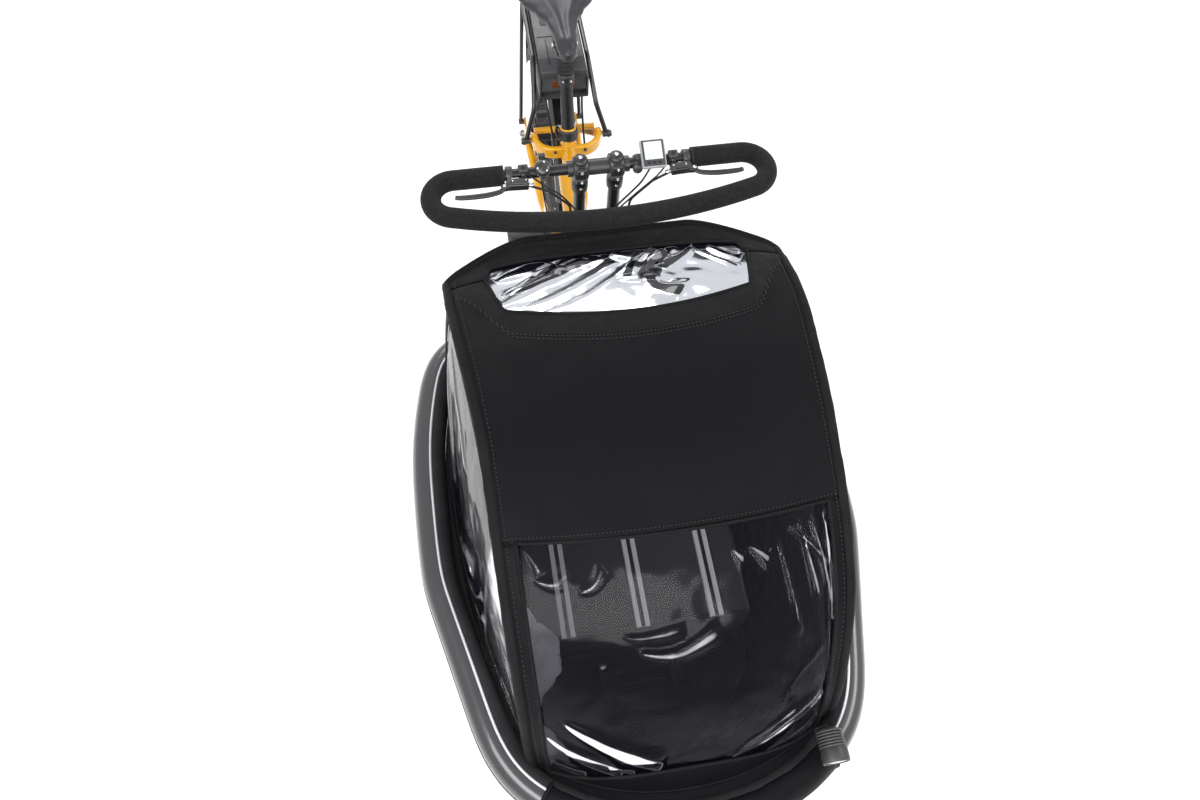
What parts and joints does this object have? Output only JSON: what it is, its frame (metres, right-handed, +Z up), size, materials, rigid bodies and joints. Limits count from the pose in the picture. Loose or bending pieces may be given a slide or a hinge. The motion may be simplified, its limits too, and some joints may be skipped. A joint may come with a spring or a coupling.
{
  "type": "electric cargo tricycle",
  "caption": "Front-loading electric cargo trike: a covered cabin on its front wheels steers with the handlebar on a pivot ahead of a rear frame with saddle, pedals and rack battery.",
  "frame": {"origin": "on the floor, at the middle of the length and of the width", "axes": "+Z up; the tricycle faces -Y; +X is the rider's left"},
  "size_m": [0.896, 2.25, 1.0349],
  "materials": {
    "frame_yellow": "gloss",
    "black_paint": "satin",
    "black_metal": "satin",
    "steel": "satin",
    "aluminium": "satin",
    "tyre": "matte",
    "gloss_black": "gloss",
    "black_plastic": "matte",
    "battery_case": "satin",
    "red_lens": "gloss",
    "saddle_cover": "smooth",
    "rubber": "matte",
    "foam": "matte",
    "bumper_skin": "matte",
    "tub_plastic": "matte",
    "bench_plastic": "satin",
    "canopy_fabric": "satin",
    "clear_film": "gloss",
    "lamp_housing": "satin",
    "screen_case": "satin"
  },
  "bodies": {
    "rear_frame": {"main_frame": "frame_yellow", "rear_stays": "frame_yellow", "rear_axle": "steel", "rear_fender": "gloss_black", "rear_rack": "black_metal", "battery_dock": "black_plastic", "rack_battery": "battery_case", "rear_light": "red_lens", "seatpost": "black_metal", "seatpost_bellows": "rubber", "seat_clamp": "black_metal", "saddle": "saddle_cover", "chain": "steel", "chain_guard": "black_plastic"},
    "rear_wheel": {"rear_tyre": "tyre", "rear_rim": "black_metal", "rear_hub": "aluminium"},
    "crank": {"crankset": "aluminium"},
    "pedal_right": {"pedal_right": "black_plastic"},
    "pedal_left": {"pedal_left": "black_plastic"},
    "front_module": {"front_frame": "black_paint", "bumper_ring": "bumper_skin", "cabin_tub": "tub_plastic", "bench": "bench_plastic", "bench_rail_right": "aluminium", "bench_rail_middle": "aluminium", "bench_rail_left": "aluminium", "canopy_shell": "canopy_fabric", "roof_window": "clear_film", "front_window": "clear_film", "side_window_right": "clear_film", "side_window_left": "clear_film", "canopy_hoop_middle": "aluminium", "canopy_hoop_rear": "aluminium", "headlamp": "lamp_housing", "handlebar_posts": "black_paint", "handlebar_clamp_right": "black_paint", "handlebar_clamp_left": "black_paint", "handlebar": "black_paint", "foam_grip": "foam", "brake_lever_right": "black_metal", "brake_lever_left": "black_metal", "bell": "black_metal", "display": "screen_case", "brake_cable_right": "rubber", "brake_cable_left": "rubber"},
    "front_wheel_right": {"front_right_tyre": "tyre", "front_right_rim": "black_metal", "front_right_hub": "aluminium"},
    "front_wheel_left": {"front_left_tyre": "tyre", "front_left_rim": "black_metal", "front_left_hub": "aluminium"}
  },
  "joints": [
    {"name": "steering", "type": "hinge", "parent": "rear_frame", "child": "front_module", "pos_m": [0, 0.06, 0.366], "axis": [0, 0, 1], "range_deg": [-38, 38]},
    {"name": "rear_wheel_spin", "type": "hinge", "parent": "rear_frame", "child": "rear_wheel", "pos_m": [0, 0.78, 0.33], "axis": [1, 0, 0], "continuous": true},
    {"name": "crank_spin", "type": "hinge", "parent": "rear_frame", "child": "crank", "pos_m": [0, 0.35, 0.29], "axis": [1, 0, 0], "continuous": true},
    {"name": "pedal_right_spin", "type": "hinge", "parent": "crank", "child": "pedal_right", "pos_m": [-0.128, 0.32048, 0.45742], "axis": [1, 0, 0], "continuous": true},
    {"name": "pedal_left_spin", "type": "hinge", "parent": "crank", "child": "pedal_left", "pos_m": [0.128, 0.37952, 0.12258], "axis": [1, 0, 0], "continuous": true},
    {"name": "front_wheel_right_spin", "type": "hinge", "parent": "front_module", "child": "front_wheel_right", "pos_m": [-0.39, -0.429, 0.25], "axis": [1, 0, 0], "continuous": true},
    {"name": "front_wheel_left_spin", "type": "hinge", "parent": "front_module", "child": "front_wheel_left", "pos_m": [0.39, -0.429, 0.25], "axis": [1, 0, 0], "continuous": true}
  ]
}
